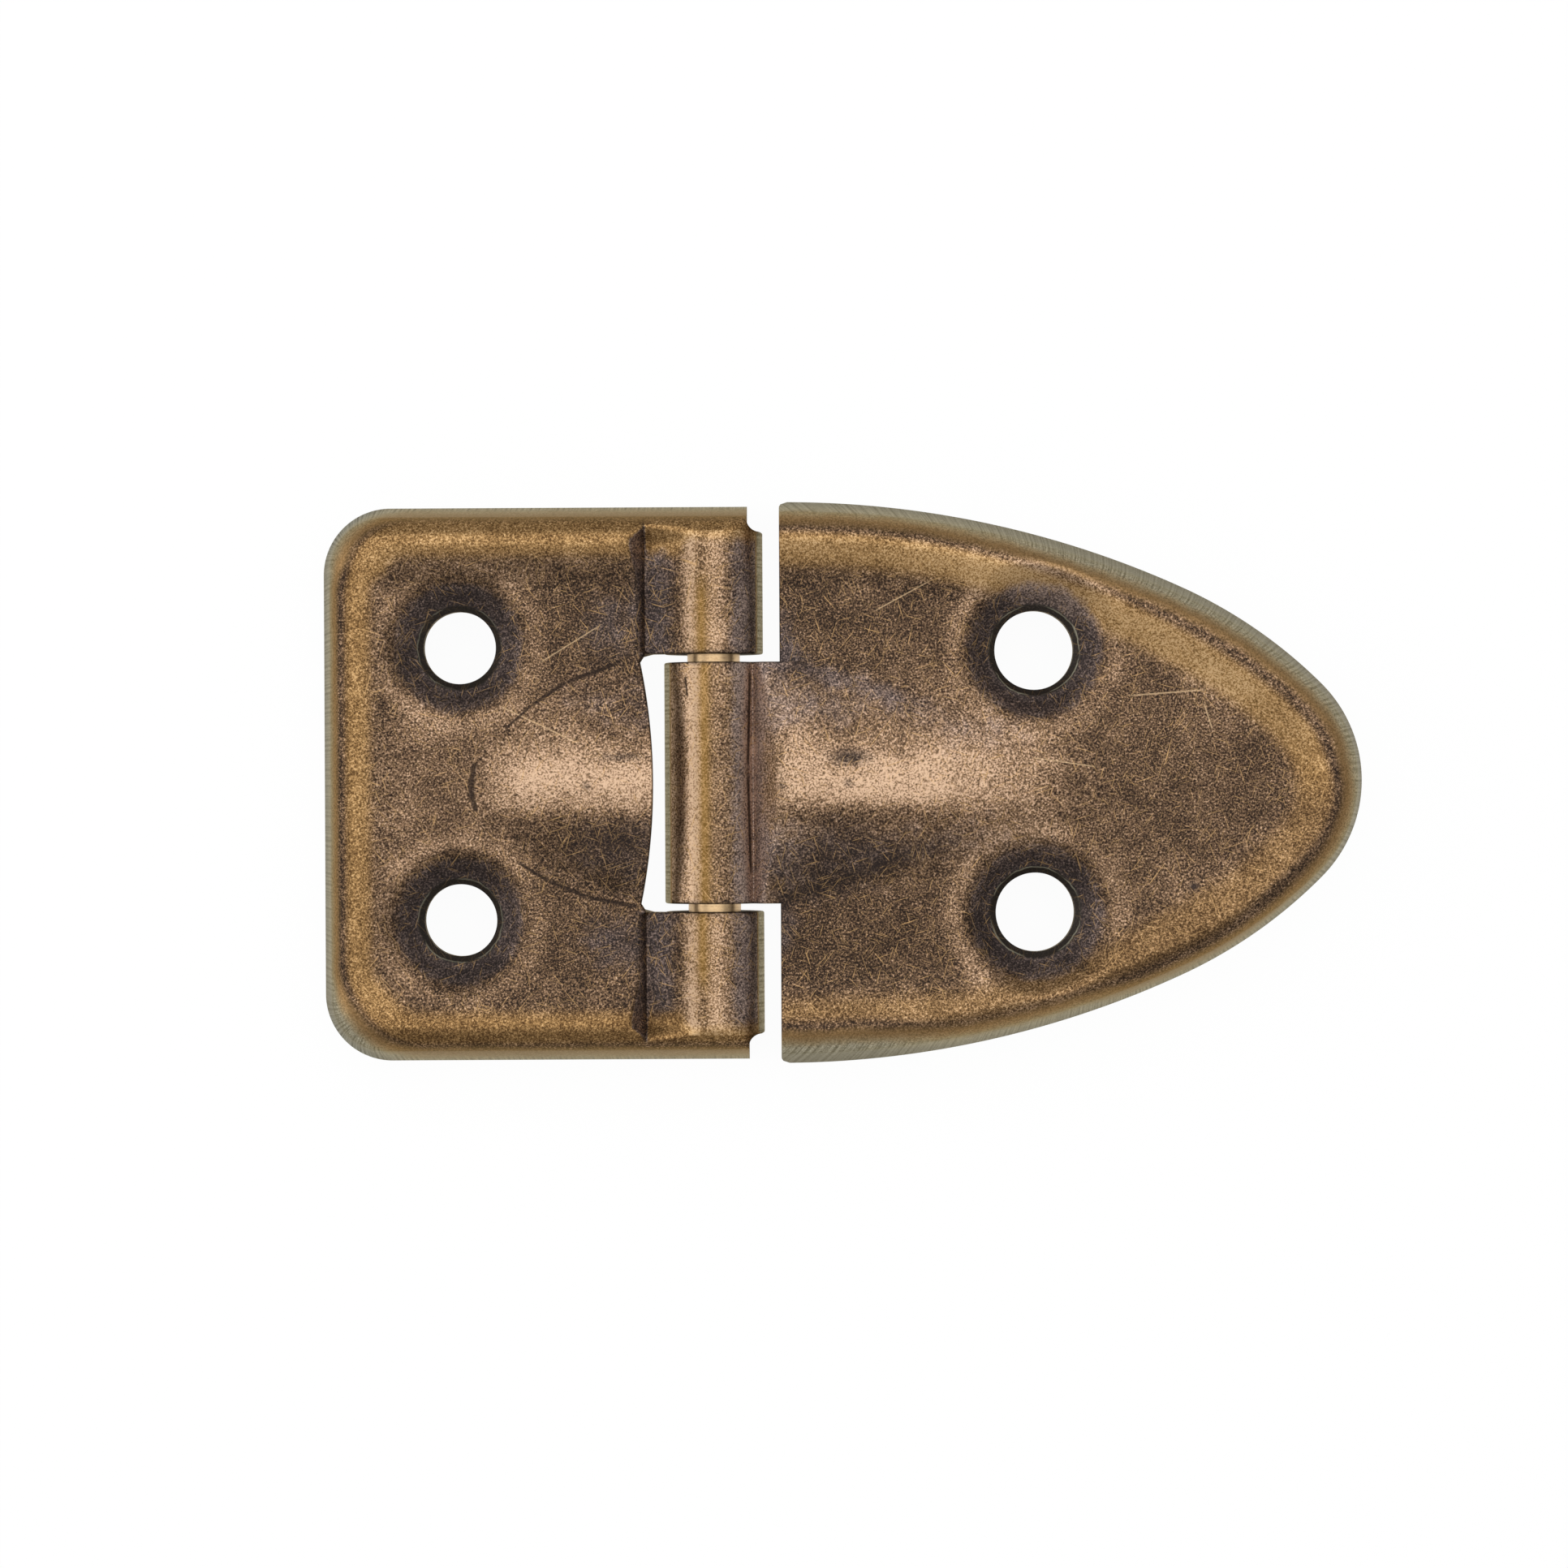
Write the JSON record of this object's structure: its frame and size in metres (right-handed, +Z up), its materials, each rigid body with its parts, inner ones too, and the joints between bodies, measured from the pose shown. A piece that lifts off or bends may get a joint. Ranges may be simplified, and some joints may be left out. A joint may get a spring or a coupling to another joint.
{
  "type": "lid stop hinge",
  "caption": "Stamped sheet case hinge with curled knuckles; raised humps on both leaves meet to stop the lid just past upright.",
  "frame": {"origin": "middle of the open hinge in plan, on the mounting plane that the rims of both leaves rest on", "axes": "+Z up, away from the mounting plane; +X from the base leaf towards the nose of the lid leaf; +Y along the pin"},
  "size_m": [0.0698, 0.0378, 0.0072],
  "materials": {
    "leaf_finish": "antique brass, darkened in the hollows and rubbed bright on the high places",
    "pin_finish": "drawn rod, dull brass"
  },
  "bodies": {
    "base": {"base_leaf": "leaf_finish", "hinge_pin": "pin_finish"},
    "lid": {"lid_leaf": "leaf_finish"}
  },
  "joints": [
    {"name": "lid_swing", "type": "hinge", "parent": "base", "child": "lid", "pos_m": [-0.00865, 0, 0.00339], "axis": [0, -1, 0], "range_deg": [-100, 95]}
  ]
}
